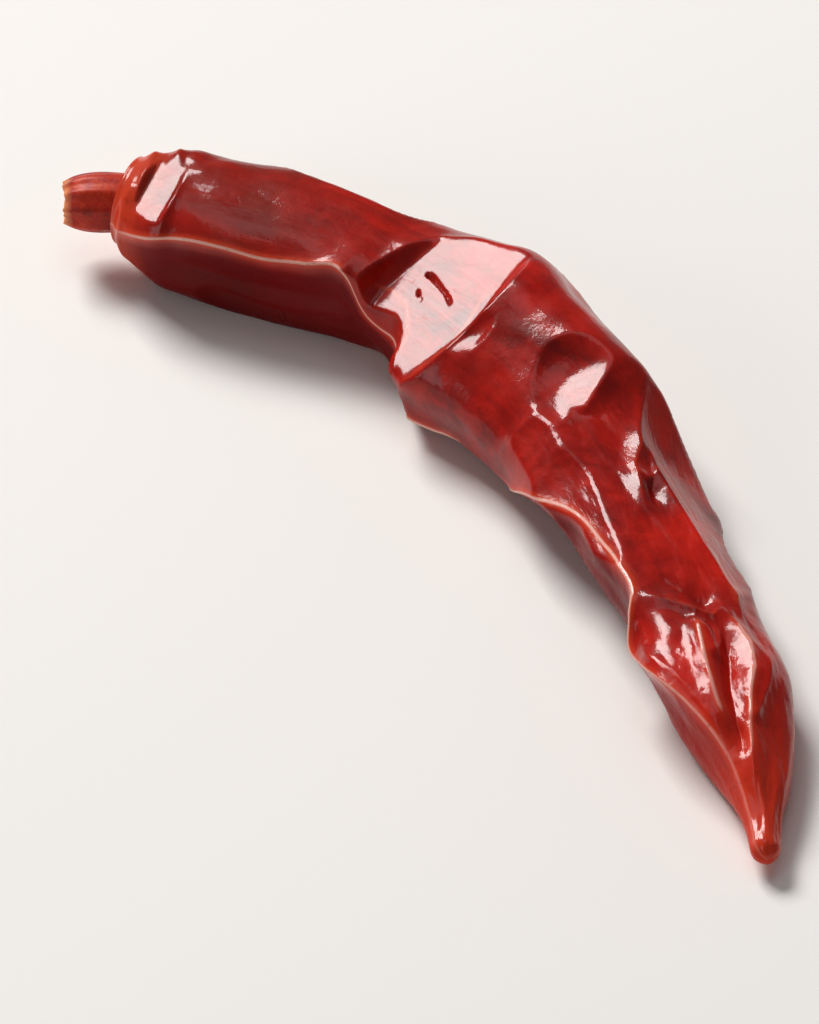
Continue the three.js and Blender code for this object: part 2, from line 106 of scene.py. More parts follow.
# Creases: height above the skin (below 0 it sinks), width, and a path of distance and angle
CREASES = [
    (0.12, 0.5, [(0.6, 40), (1.0, 70), (1.3, 104), (1.8, 138), (2.1, 162)]),
    (-0.1, 0.35, [(1.5, 60), (2.0, 85), (2.5, 118), (2.8, 148)]),
    (0.2, 0.6, [(1.9, 40), (2.3, 64), (3.1, 104), (3.7, 132), (3.7, 158)]),
    (0.45, 1.0, [(16.4, 146), (17.2, 142), (18, 139), (19.4, 143), (20.2, 150), (21.6, 166), (22.9, 192)]),
    (0.4, 1.0, [(22.4, 46), (23.3, 88), (23.8, 115), (24.2, 148), (24, 170), (23.1, 194)]),
    (-2.0, 0.9, [(18.9, 90), (19.8, 94), (21.4, 106), (22.6, 122)]),
    (-1.95, 0.85, [(19.4, 116), (19.8, 126), (20.7, 134), (22.1, 137)]),
    (0.34, 1.1, [(32.6, 64), (33.5, 84), (34.6, 106)]),
    (0.34, 1.1, [(35.6, 42), (37.8, 60), (39.0, 77), (40.4, 84), (43.0, 96)]),
    (-0.3, 1.0, [(37.0, 40), (39.0, 54), (40.6, 64), (42.6, 75)]),
    (0.3, 1.0, [(38.8, 37), (40.0, 58), (40.4, 74)]),
    (0.45, 1.2, [(36, 40), (40.0, 34), (44.4, 28), (48.4, 32), (52, 40)]),
    (-0.3, 1.1, [(47.4, 128), (48.9, 104), (49.7, 82), (49.9, 60)]),
    (0.36, 0.9, [(48.8, 140), (50, 113), (50.8, 94), (51.2, 76), (50.3, 56)]),
    (0.3, 0.8, [(51.2, 100), (52.8, 92), (54.2, 93), (53.4, 82), (51.6, 76)]),
    (0.5, 1.15, [(51.0, 98), (52.8, 103), (55.2, 109), (57.6, 114), (60, 117)]),
    (0.35, 0.9, [(51.7, 158), (53.6, 146), (55.8, 136), (58, 130), (60.4, 128)]),
    (0.5, 1.2, [
        (49.6, 64), (51.7, 55), (53.7, 51), (55.6, 56), (57.3, 70), (59.5, 86), (61.5, 98), (64.2, 106),
    ]),
    (0.3, 0.9, [(53.6, 30), (56.7, 42), (58.4, 62), (59.3, 78)]),
    (-0.25, 0.9, [(52.4, 142), (55, 140), (57.6, 133), (60.6, 128)]),
    (-0.45, 1.1, [(51.8, 68), (54.4, 74), (56.6, 92), (59, 104), (61.6, 112)]),
    (0.4, 1.4, [(4, 30), (9, 44), (14, 40), (19, 28), (25, 20), (31, 26)]),
    (0.4, 1.4, [(26, 350), (32, 340), (38, 346), (43, 338)]),
    (0.45, 1.6, [(3, 250), (8, 238), (14, 246), (20, 232), (27, 242), (34, 236), (41, 246), (48, 234)]),
    (-0.5, 1.6, [(8, 334), (13, 322), (17, 330), (21, 318)]),
    (0.4, 1.3, [(49, 262), (52, 240), (55, 226), (60, 214), (64, 206)]),
    (0.35, 1.2, [(50, 300), (54, 318), (59, 306), (64, 316)]),
]
CREASE_SHARPNESS = 1.6
CREASE_FADE = 0.22

# Flat facets: distance, angle, half its length, half its width, how far it is sunk, lean along, lean round
FACETS = [
    (2.5, 117, 0.9, 6.0, 0.62, -13, -11),
    (21.0, 118, 3.1, 8.0, 1.85, -8, -6),
    (17.6, 164, 1.4, 2.6, 1.0, 0, 14),
    (25.8, 143, 0.45, 1.0, 0.15, -3, -33),
    (33.6, 86, 1.6, 1.7, -0.1, -2.3, 21.8),
    (37.6, 150, 2.6, 1.8, 0.4, 3, -24),
    (41.8, 146, 2.6, 1.8, 0.35, 0, -24),
    (45.0, 178, 3.2, 3.2, 0.45, -2, 0),
    (43.4, 44, 5.0, 3.0, 0.1, 1, -4),
    (12, 10, 3.6, 3.6, 0.4, 4, 5),
    (24, 352, 3.6, 3.6, 0.5, -5, -6),
    (37, 8, 3.6, 3.6, 0.4, 5, 4),
    (31, 232, 3.6, 3.6, 0.45, 3, -3),
    (47, 322, 3.2, 3.2, 0.4, -4, 2),
    (11, 200, 4.0, 4.0, 0.3, 0, 0),
]
FACET_BLEND = 0.16
FACET_CURL = 0.16
LEAST_SLANT = 0.3

# Shallow hollows spread over the whole skin
HOLLOW_LENGTH = 5.2
HOLLOWS_ROUND = 8
HOLLOW_RIM = 0.7
HOLLOW_DEPTH = [
    (0, 0.04), (4, 0.05), (16, 0.05), (26, 0.08), (44, 0.10), (52, 0.11), (60, 0.08), (67.7, 0.04),
]

# The stub: the middle of its torn end, how deep it sits in the mouth, and its radius along it
STUB_END = (0, 0, 3.6)
STUB_DEPTH = 1.2
STUB_RADIUS = [
    (0, 1.4), (0.3, 1.5), (0.44, 1.66), (0.58, 1.7), (0.72, 1.7), (0.84, 1.62), (0.93, 1.46), (1, 1.22),
]
FLUTES = 9
FLUTE_DEPTH = 0.07
FLUTE_WANDER = 20
RIM_WIDTH = 0.35
RIM_RAGGEDNESS = 0.3
PITH_DEPTH = 0.7
PITH_LUMPS = 0.22

# Unevenness of the finished upper skin, which makes the edges of the facets wander, and how far the
# finished skin stays inside the plain solid
UNEVENNESS = [
    (0, 0.25), (4, 0.25), (5.5, 0.02), (16, 0.02), (18, 0.14), (25, 0.14), (28, 0.06), (36, 0.05),
    (67.7, 0.05),
]
UNEVEN_LENGTH = 1.5
UNEVEN_ROUND = 18
SLACK = 0.02

# Fine puckers, for the finished skin only: how deep they are along the pod
FINE_DEPTH = [
    (0, 0.02), (4, 0.010), (20, 0.008), (36, 0.014), (46, 0.024), (54, 0.030), (62, 0.022), (67.7, 0.01),
]
PUCKER_WIDTH = 1.1
PUCKER_STRETCH = 0.3
PUCKER_SEED = 4.0
PUCKER_STEEPNESS = 9.0
PIT_SHARE = 0.7
DEEPEST_PUCKER = 1.5
LOWEST_PUCKER = 0.0001

# Threads of the stub and how far its bark goes in before the pith starts
THREAD_DEPTH = 0.02
PITH_EDGE = 0.12
PITH_RINGS = 26

# Salts of the chance numbers, one for each kind of unevenness
HOLLOW_SALT = 1
UNEVEN_SALT = 9
RIM_SALT = 61
THREAD_SALT = 63
LUMP_SALT = 65
GRIT_SALT = 67

# Colours of the skin and of the torn stem, as linear red, green and blue
OXBLOOD = (0.16, 0.0030, 0.0018)
CRIMSON = (0.37, 0.0055, 0.0028)
SCARLET = (0.66, 0.014, 0.005)
BROWN = (0.28, 0.012, 0.006)
UMBER = (0.14, 0.011, 0.006)
# maroon for the wall under the fold: partly the skin's own darker colour, partly painted shade
MAROON_AND_SHADE = (0.125, 0.0008, 0.0024)
ORANGE = (0.66, 0.060, 0.018)
# pale pink for the crests of the fold and creases: a painted highlight
PAINTED_EDGE_HIGHLIGHT = (0.90, 0.50, 0.42)
BARK = [(0.35, (0.22, 0.006, 0.002)), (0.55, (0.44, 0.017, 0.004)), (0.72, (0.62, 0.055, 0.012))]
BARK_THREADS = (0.62, 0.06, 0.015)
TORN_RIM = (0.82, 0.34, 0.15)
STRAW = [(0.3, (0.30, 0.13, 0.035)), (0.5, (0.62, 0.40, 0.13)), (0.7, (0.80, 0.62, 0.28))]
FLOOR_COLOUR = (0.94, 0.92, 0.895)
ROOM_COLOUR = (1.0, 0.98, 0.96)
ROOM_LIGHT = 0.13

# Sizes of the patterns in the skin, as repeats in a metre
PATCHES = 150
BROWNING = 105
MOTTLE = 560
GRAIN = 1000
STREAKS = 1100
SPECKS = 2600
PORES = 3600
STREAK_STRETCH = 0.12
PORE_SHARE = 0.35

# Patterns in the stub
STAINS = 700
FIBRES = 2200

# How strong the colour of the lip and of the very tip is, at a share of the pod's length
ENDS = [
    (0.0, (1, 1, 1)), (0.012, (0.9, 0.9, 0.9)), (0.04, (0, 0, 0)), (0.84, (0, 0, 0)), (1.0, (0.8, 0.8, 0.8)),
]

# The camera looks from the inside of the bend, as the photograph does
CAMERA_TARGET = (-0.00004, -0.00746, 0.003)
CAMERA_AZIMUTH = 55.6
CAMERA_ELEVATION = 40.0
CAMERA_DISTANCE = 1.20
FRAME_HEIGHT = 0.0564
SENSOR_HEIGHT = 36.0
FLOOR_REACH = 3.0

# Soft panels: name, azimuth from the camera's, elevation, distance, width, height, power, colour
PANELS = [
    ("key_panel", 214, 44, 0.9, 0.42, 0.30, 8, (1, 0.98, 0.955)),
    ("top_panel", 180, 80, 1.0, 0.5, 0.5, 0.8, (1, 1, 1)),
    ("front_fill", -60, 20, 1.2, 0.6, 0.6, 2.0, (1, 1, 1)),
]

# How fine the skins are divided
POD_COLUMNS = 168
RING_STEP = 0.122
FOLD_MIDDLE = 165
SHIFT_SPREAD = 60
STUB_COLUMNS = 144
STUB_RINGS = 70

UP = np.array([0.0, 0.0, 1.0])


def along(table, at, column=1):
    """Value of a table's column between its rows, on a curve that passes through every row."""
    rows = np.array(table, dtype=float)
    place, value = rows[:, 0], rows[:, column]
    slope = np.empty(len(rows))
    slope[1:-1] = (value[2:] - value[:-2]) / (place[2:] - place[:-2])
    slope[0] = (value[1] - value[0]) / (place[1] - place[0])
    slope[-1] = (value[-1] - value[-2]) / (place[-1] - place[-2])
    at = np.asarray(at, dtype=float)
    row = np.clip(np.searchsorted(place, at, side="right") - 1, 0, len(rows) - 2)
    span = place[row + 1] - place[row]
    t = np.clip((at - place[row]) / span, 0, 1)
    rest = 1 - t
    return (
        rest * rest * (1 + 2 * t) * value[row]
        + t * t * (3 - 2 * t) * value[row + 1]
        + t * rest * span * (rest * slope[row] - t * slope[row + 1])
    )


def smoothstep(value, low, high):
    t = np.clip((value - low) / (high - low), 0, 1)
    return t * t * (3 - 2 * t)


def turn(angle):
    """Shortest way round from one angle to another, between -180 and 180."""
    return np.mod(np.asarray(angle) + 180, 360) - 180


def middle_at(at):
    """Point on the middle line with the level directions along it and out of the bend."""
    at = np.asarray(at, dtype=float)
    reach = 0.05
    centre = np.stack([along(MIDDLE_LINE, at, column) for column in (1, 2, 3)], axis=-1)
    step_x = along(MIDDLE_LINE, at + reach, 1) - along(MIDDLE_LINE, at - reach, 1)
    step_y = along(MIDDLE_LINE, at + reach, 2) - along(MIDDLE_LINE, at - reach, 2)
    length = np.hypot(step_x, step_y)
    ahead = np.stack([step_x / length, step_y / length, 0 * length], axis=-1)
    out = np.stack([-ahead[..., 1], ahead[..., 0], 0 * length], axis=-1)
    return centre, ahead, out


def plain_radius(at, angle):
    rolled = np.radians(angle - along(ROLL, at))
    cosine = np.abs(np.cos(rolled)) / along(HALF_BREADTH, at)
    sine = np.abs(np.sin(rolled)) / along(HALF_THICKNESS, at)
    power = along(SECTION_POWER, at)
    return (cosine**power + sine**power) ** (-1 / power)


def crease_height(crease, at, angle, per_degree):
    """How far a crease stands out: sharp at its line, flat at its width, fading to its ends."""
    height, width, path = crease
    nearest = np.full(at.shape, np.inf)
    share_there = np.zeros(at.shape)
    for i in range(len(path) - 1):
        start_along = path[i][0] - at
        start_round = turn(path[i][1] - angle) * per_degree
        step_along = path[i + 1][0] - path[i][0]
        step_round = (path[i + 1][1] - path[i][1]) * per_degree
        share = -(start_along * step_along + start_round * step_round) / (step_along**2 + step_round**2)
        t = np.clip(share, 0, 1)
        distance = np.hypot(start_along + t * step_along, start_round + t * step_round)
        closer = distance < nearest
        nearest = np.where(closer, distance, nearest)
        share_there = np.where(closer, (i + t) / (len(path) - 1), share_there)
    from_end = np.minimum(share_there, 1 - share_there)
    fade = smoothstep(from_end, -0.05, CREASE_FADE)
    return height * fade * np.maximum(0, 1 - nearest / width) ** CREASE_SHARPNESS


def chance(row, column, salt):
    """A repeatable number between 0 and 1 for a cell of the skin."""
    value = np.sin(row * 127.1 + column * 311.7 + salt * 74.7) * 43758.5453
    return value - np.floor(value)


def cell_edges(at, angle, length, count, salt):
    """Distance from the edge between two cells of skin, 0 on the edge."""
    row = at / length
    column = np.mod(angle, 360) / 360 * count
    first = np.full(at.shape, np.inf)
    second = np.full(at.shape, np.inf)
    for down in (-1, 0, 1):
        for across in (-1, 0, 1):
            i = np.floor(row) + down
            j = np.floor(column) + across
            wrapped = np.mod(j, count)
            off_row = i + 0.1 + 0.8 * chance(i, wrapped, salt) - row
            off_column = j + 0.1 + 0.8 * chance(i, wrapped, salt + 1) - column
            distance = np.hypot(off_row, off_column)
            second = np.minimum(second, np.maximum(first, distance))
            first = np.minimum(first, distance)
    return second - first


def ripple(at, angle, length, count, salt):
    """Smooth unevenness between 0 and 1 that closes on itself round the pod."""
    row = at / length
    column = np.mod(angle, 360) / 360 * count
    i, j = np.floor(row), np.floor(column)
    u, v = row - i, column - j
    u, v = u * u * (3 - 2 * u), v * v * (3 - 2 * v)
    near, far = np.mod(j, count), np.mod(j + 1, count)
    low = chance(i, near, salt) * (1 - v) + chance(i, far, salt) * v
    high = chance(i + 1, near, salt) * (1 - v) + chance(i + 1, far, salt) * v
    return low * (1 - u) + high * u


def shrivelled_radius(at, angle):
    """Radius with the fold, creases and hollows, and how near each place is to a raised line."""
    plain = plain_radius(at, angle)
    per_degree = np.radians(plain)
    fold_angle = turn(angle - along(FOLD_ANGLE, at))
    fold_shape = np.exp(-np.abs(fold_angle) * per_degree / FOLD_WIDTH)
    under = (fold_angle - UNDERCUT_OFFSET) / UNDERCUT_SPREAD
    fade = smoothstep(at, *UNDERCUT_START) * (1 - smoothstep(at, *UNDERCUT_END))
    radius = plain + along(FOLD_HEIGHT, at) * fold_shape - UNDERCUT_DEPTH * fade * np.exp(-under * under)
    raised = fold_shape**0.9
    for crease in CREASES:
        height = crease_height(crease, at, angle, per_degree)
        radius = radius + height
        raised = np.maximum(raised, np.clip(height / 0.5, 0, 1))
    edges = cell_edges(at, angle, HOLLOW_LENGTH, HOLLOWS_ROUND, HOLLOW_SALT)
    inside = smoothstep(edges, 0, HOLLOW_RIM)
    return radius - along(HOLLOW_DEPTH, at) * inside, raised


def place_at(at, angle, radius):
    centre, _, out = middle_at(at)
    across = radius * np.cos(np.radians(angle))
    rise = radius * np.sin(np.radians(angle))
    return centre + out * across[..., None] + UP * rise[..., None]


def cut_back(at, angle, radius):
    """Radius after the facets have cut it back, with slightly eased edges."""
    _, _, out = middle_at(at)
    cosine, sine = np.cos(np.radians(angle)), np.sin(np.radians(angle))
    outward = out * cosine[..., None] + UP * sine[..., None]
    start = place_at(at, angle, radius)
    cut = radius.copy()
    for place, round_angle, length, width, sunk, lean_along, lean_round in FACETS:
        place, round_angle = np.array(float(place)), np.array(float(round_angle))
        _, ahead_there, out_there = middle_at(place)
        c, s = np.cos(np.radians(round_angle)), np.sin(np.radians(round_angle))
        sideways = UP * c - out_there * s
        facing = out_there * c + UP * s
        facing = facing + ahead_there * math.tan(math.radians(lean_along))
        facing = facing + sideways * math.tan(math.radians(lean_round))
        facing = facing / np.linalg.norm(facing)
        point = place_at(place, round_angle, plain_radius(place, round_angle) - sunk)
        offset = start - point
        spread = np.hypot(offset @ ahead_there / length, offset @ sideways / width)
        curl = FACET_CURL * (np.maximum(0, spread - 1) * width) ** 2
        slant = np.maximum(outward @ facing, LEAST_SLANT)
        reach = radius - (offset @ facing - curl) / slant
        mix = np.clip(0.5 + (cut - reach) / (2 * FACET_BLEND), 0, 1)
        eased = cut * (1 - mix) + reach * mix - FACET_BLEND / 2 * mix * (1 - mix)
        cut = np.where(reach > cut + FACET_BLEND, cut, eased)
    return cut


def skin_points(at, angle):
    """Points of the skin, rounded at the tip and no lower than the floor, with its raised lines."""
    radius, raised = shrivelled_radius(at, angle)
    upper = smoothstep(np.sin(np.radians(angle)), 0, 0.5)
    uneven = ripple(at, angle, UNEVEN_LENGTH, UNEVEN_ROUND, UNEVEN_SALT)
    radius = radius - SLACK - along(UNEVENNESS, at) * upper * uneven
    radius = cut_back(at, angle, radius)
    into_tip = np.clip((at - POD_LENGTH + TIP_ROUNDING) / TIP_ROUNDING, 0, 1)
    rounded = radius * np.sqrt(1 - into_tip * into_tip)
    lip = smoothstep(at, 0, LIP_LENGTH)
    points = place_at(at, angle, (LIP_RADIUS + LIP_FLARE) * (1 - lip) + rounded * lip)
    points[..., 2] = np.maximum(points[..., 2], 0)
    return points, raised


def closed_mesh(name, rings, first, last, numbers):
    """Mesh over rings of points with a point at each end, and a named number on each point."""
    rows, columns = rings.shape[:2]
    points = np.concatenate([[first], rings.reshape(-1, 3), [last]])
    points = (points - np.array([BOX_MIDDLE[0], BOX_MIDDLE[1], 0])) * MM
    here = 1 + np.arange(rows - 1)[:, None] * columns + np.arange(columns)[None, :]
    step = np.roll(here, -1, axis=1)
    quads = np.stack([here, step, step + columns, here + columns], axis=-1).reshape(-1, 4)
    ring = np.arange(columns)
    after = np.roll(ring, -1)
    end = 1 + (rows - 1) * columns
    faces = quads.tolist()
    faces += [[0, 1 + b, 1 + a] for a, b in zip(ring.tolist(), after.tolist())]
    faces += [[end + a, end + b, len(points) - 1] for a, b in zip(ring.tolist(), after.tolist())]
    mesh = bpy.data.meshes.new(name)
    mesh.from_pydata(points.tolist(), [], faces)
    mesh.polygons.foreach_set("use_smooth", [True] * len(mesh.polygons))
    for label, values in numbers.items():
        size = values.shape[2:]
        attribute = mesh.attributes.new(label, "FLOAT_VECTOR" if size else "FLOAT", "POINT")
        padded = np.concatenate([values[:1, 0], values.reshape((-1, *size)), values[-1:, 0]])
        attribute.data.foreach_set("vector" if size else "value", padded.astype(np.float32).ravel())
    mesh.update()
    piece = bpy.data.objects.new(name, mesh)
    bpy.context.scene.collection.objects.link(piece)
    return piece


def ring_angles(at):
    """Angles of a ring's points, with those near the sharp fold moved over to follow it."""
    from_middle = turn(360 * np.arange(POD_COLUMNS) / POD_COLUMNS)
    shift = (along(FOLD_ANGLE, at) - FOLD_MIDDLE)[..., None]
    return FOLD_MIDDLE + from_middle + shift * np.exp(-((from_middle / SHIFT_SPREAD) ** 2))


def make_pod_skin():
    socket = [(MOUTH_DEPTH, MOUTH_RADIUS - 0.1), (MOUTH_DEPTH / 2, MOUTH_RADIUS), (0.12, MOUTH_RADIUS)]
    socket += [(0.03, MOUTH_RADIUS + 0.08), (0, LIP_RADIUS)]
    at = np.array([place for place, _ in socket])
    angle = np.repeat(ring_angles(np.zeros(1)), len(socket), axis=0)
    radius = np.array([radius for _, radius in socket])[:, None] + 0 * angle
    inside = place_at(at[:, None] + 0 * angle, angle, radius)
    start = 0.05
    steps = round((POD_LENGTH - TIP_ROUNDING - start) / RING_STEP)
    rings = np.linspace(start, POD_LENGTH - TIP_ROUNDING, steps + 1)
    cap = POD_LENGTH - TIP_ROUNDING * (1 - np.sin(np.radians(np.arange(10, 90, 10))))
    at = np.concatenate([rings, cap])
    angle = ring_angles(at)
    at = at[:, None] + 0 * angle
    outside, raised = skin_points(at, angle)
    depth = np.concatenate([0 * inside[..., 0], at / POD_LENGTH])
    raised = np.concatenate([0 * inside[..., 0], raised])
    fine = np.concatenate([0 * inside[..., 0], along(FINE_DEPTH, at) * smoothstep(at, 0.6, 2.5) * MM])
    # the wall under the fold, which the skin material paints darker maroon (partly painted shade) and gives
    # less coat
    past_fold = turn(angle - along(FOLD_ANGLE, at))
    shaded_wall = smoothstep(past_fold, 3, 14) * (1 - smoothstep(past_fold, 90, 150))
    shaded_wall = np.concatenate([0 * inside[..., 0], shaded_wall])
    radius = plain_radius(at, angle)
    turned = np.radians(angle)
    straight = np.stack([at, radius * np.cos(turned), radius * np.sin(turned)], axis=-1) * MM
    straight = np.concatenate([0 * inside, straight])
    points = np.concatenate([inside, outside])
    floor = middle_at(np.array(MOUTH_DEPTH))[0]
    tip = middle_at(np.array(POD_LENGTH))[0]
    numbers = {"along": depth, "raised": raised, "shaded_wall": shaded_wall, "fine": fine, "straight": straight}
    return closed_mesh("pod_skin", points, floor, tip, numbers)


def new_tree(name, inputs):
    """Geometry tree with named inputs, its group input and output, and each input's identifier."""
    tree = bpy.data.node_groups.new(name, "GeometryNodeTree")
    names = {}
    for label, kind in inputs:
        socket = tree.interface.new_socket(label, in_out="INPUT", socket_type=kind)
        names[label] = socket.identifier
    tree.interface.new_socket("Geometry", in_out="OUTPUT", socket_type="NodeSocketGeometry")
    return tree, names, tree.nodes.new("NodeGroupInput"), tree.nodes.new("NodeGroupOutput")


def close_tree(tree, geometry, finish, group_output):
    """Last two steps of a tree: instances made real, and the finish set."""
    realized = tree.nodes.new("GeometryNodeRealizeInstances")
    finished = tree.nodes.new("GeometryNodeSetMaterial")
    tree.links.new(geometry, realized.inputs[0])
    tree.links.new(realized.outputs[0], finished.inputs["Geometry"])
    tree.links.new(finish, finished.inputs["Material"])
    tree.links.new(finished.outputs[0], group_output.inputs[0])


def settle(piece, tree, values):
    """Runs a tree on a piece with these inputs, and keeps the result as its plain mesh."""
    modifier = piece.modifiers.new("grow", "NODES")
    modifier.node_group = tree
    for identifier, value in values.items():
        modifier[identifier] = value
    depsgraph = bpy.context.evaluated_depsgraph_get()
    mesh = bpy.data.meshes.new_from_object(piece.evaluated_get(depsgraph), depsgraph=depsgraph)
    piece.modifiers.remove(modifier)
    piece.data = mesh
    mesh.name = piece.name


def feed(links, socket, value):
    """Gives a socket its value: another node's output, a colour or a number."""
    if isinstance(value, bpy.types.NodeSocket):
        links.new(value, socket)
    elif isinstance(value, tuple):
        socket.default_value = (*value, 1)
    elif value is not None:
        socket.default_value = value


def arithmetic(nodes, links, operation, *values):
    node = nodes.new("ShaderNodeMath")
    node.operation = operation
    for socket, value in zip(node.inputs, values):
        feed(links, socket, value)
    return node.outputs[0]


def math_node(tree, operation, *values):
    return arithmetic(tree.nodes, tree.links, operation, *values)


def vector_node(tree, operation, first, second=None, scale=None):
    node = tree.nodes.new("ShaderNodeVectorMath")
    node.operation = operation
    for socket, value in zip(node.inputs, (first, second)):
        feed(tree.links, socket, value)
    if scale is not None:
        tree.links.new(scale, node.inputs["Scale"])
    return node.outputs[0]


def named(tree, label, kind):
    node = tree.nodes.new("GeometryNodeInputNamedAttribute")
    node.data_type = kind
    node.inputs["Name"].default_value = label
    return node.outputs["Attribute"]


def pucker_tree():
    """Sinks fine lengthwise puckers into a skin, as deep as its number "fine" says."""
    inputs = [("Skin", "NodeSocketGeometry"), ("Pucker width", "NodeSocketFloat")]
    inputs += [("Stretch", "NodeSocketFloat"), ("Seed", "NodeSocketFloat"), ("Finish", "NodeSocketMaterial")]
    tree, names, given, result = new_tree("skin_puckers", inputs)
    straight = named(tree, "straight", "FLOAT_VECTOR")
    ratio = tree.nodes.new("ShaderNodeCombineXYZ")
    tree.links.new(given.outputs["Stretch"], ratio.inputs[0])
    ratio.inputs[1].default_value = 1
    ratio.inputs[2].default_value = 1
    place = vector_node(tree, "MULTIPLY", straight, ratio.outputs[0])
    scale = math_node(tree, "DIVIDE", 1.0, given.outputs["Pucker width"])
    waves = tree.nodes.new("ShaderNodeTexNoise")
    waves.noise_dimensions = "4D"
    waves.inputs["Detail"].default_value = 2.5
    waves.inputs["Distortion"].default_value = 0.6
    tree.links.new(place, waves.inputs["Vector"])
    tree.links.new(scale, waves.inputs["Scale"])
    tree.links.new(given.outputs["Seed"], waves.inputs["W"])
    centred = math_node(tree, "ABSOLUTE", math_node(tree, "SUBTRACT", waves.outputs[0], 0.5))
    grooves = math_node(tree, "MINIMUM", math_node(tree, "MULTIPLY", centred, PUCKER_STEEPNESS), 1.0)
    pits = tree.nodes.new("ShaderNodeTexVoronoi")
    pits.feature = "SMOOTH_F1"
    tree.links.new(straight, pits.inputs["Vector"])
    tree.links.new(scale, pits.inputs["Scale"])
    pitted = math_node(tree, "MULTIPLY", pits.outputs["Distance"], PIT_SHARE)
    depth = math_node(tree, "SUBTRACT", math_node(tree, "ADD", grooves, pitted), DEEPEST_PUCKER)
    amount = math_node(tree, "MULTIPLY", depth, named(tree, "fine", "FLOAT"))
    normal = tree.nodes.new("GeometryNodeInputNormal")
    offset = vector_node(tree, "SCALE", normal.outputs[0], scale=amount)
    moved = tree.nodes.new("GeometryNodeSetPosition")
    tree.links.new(given.outputs["Skin"], moved.inputs["Geometry"])
    tree.links.new(offset, moved.inputs["Offset"])
    above = math_node(tree, "GREATER_THAN", point_height(tree), LOWEST_PUCKER)
    tree.links.new(above, moved.inputs["Selection"])
    close_tree(tree, moved.outputs[0], given.outputs["Finish"], result)
    return tree, names


def point_height(tree):
    place = tree.nodes.new("GeometryNodeInputPosition")
    parts = tree.nodes.new("ShaderNodeSeparateXYZ")
    tree.links.new(place.outputs[0], parts.inputs[0])
    return parts.outputs[2]


def new_material(name):
    material = bpy.data.materials.new(name)
    material.use_nodes = True
    nodes = material.node_tree.nodes
    return material, nodes, material.node_tree.links, nodes["Principled BSDF"]


def noise(nodes, links, coordinates, scale, detail=3.0, roughness=0.55, distortion=0.0):
    node = nodes.new("ShaderNodeTexNoise")
    node.inputs["Scale"].default_value = scale
    node.inputs["Detail"].default_value = detail
    node.inputs["Roughness"].default_value = roughness
    node.inputs["Distortion"].default_value = distortion
    links.new(coordinates, node.inputs["Vector"])
    return node.outputs["Fac"]


def ramp(nodes, links, value, stops):
    node = nodes.new("ShaderNodeValToRGB")
    elements = node.color_ramp.elements
    while len(elements) < len(stops):
        elements.new(0.5)
    for element, (position, color) in zip(elements, stops):
        element.position = position
        element.color = (*color, 1)
    links.new(value, node.inputs["Fac"])
    return node.outputs["Color"]


def mix(nodes, links, amount, first, second):
    """One colour turning into another by an amount between 0 and 1."""
    node = nodes.new("ShaderNodeMix")
    node.data_type = "RGBA"
    for place, value in ((0, amount), (6, first), (7, second)):
        feed(links, node.inputs[place], value)
    return node.outputs[2]


def grade(nodes, links, value, low, high, start=0.0, end=1.0):
    """A value stretched from one range to another and held inside it."""
    node = nodes.new("ShaderNodeMapRange")
    links.new(value, node.inputs["Value"])
    node.inputs["From Min"].default_value = low
    node.inputs["From Max"].default_value = high
    node.inputs["To Min"].default_value = start
    node.inputs["To Max"].default_value = end
    return node.outputs["Result"]


def number_on_skin(nodes, label):
    node = nodes.new("ShaderNodeAttribute")
    node.attribute_name = label
    return node.outputs["Fac"]


def lengthwise(nodes, links):
    """Coordinates that run straight along the pod and are drawn out lengthwise."""
    straight = nodes.new("ShaderNodeAttribute")
    straight.attribute_name = "straight"
    drawn_out = nodes.new("ShaderNodeVectorMath")
    drawn_out.operation = "MULTIPLY"
    drawn_out.inputs[1].default_value = (STREAK_STRETCH, 1, 1)
    links.new(straight.outputs["Vector"], drawn_out.inputs[0])
    return drawn_out.outputs[0]


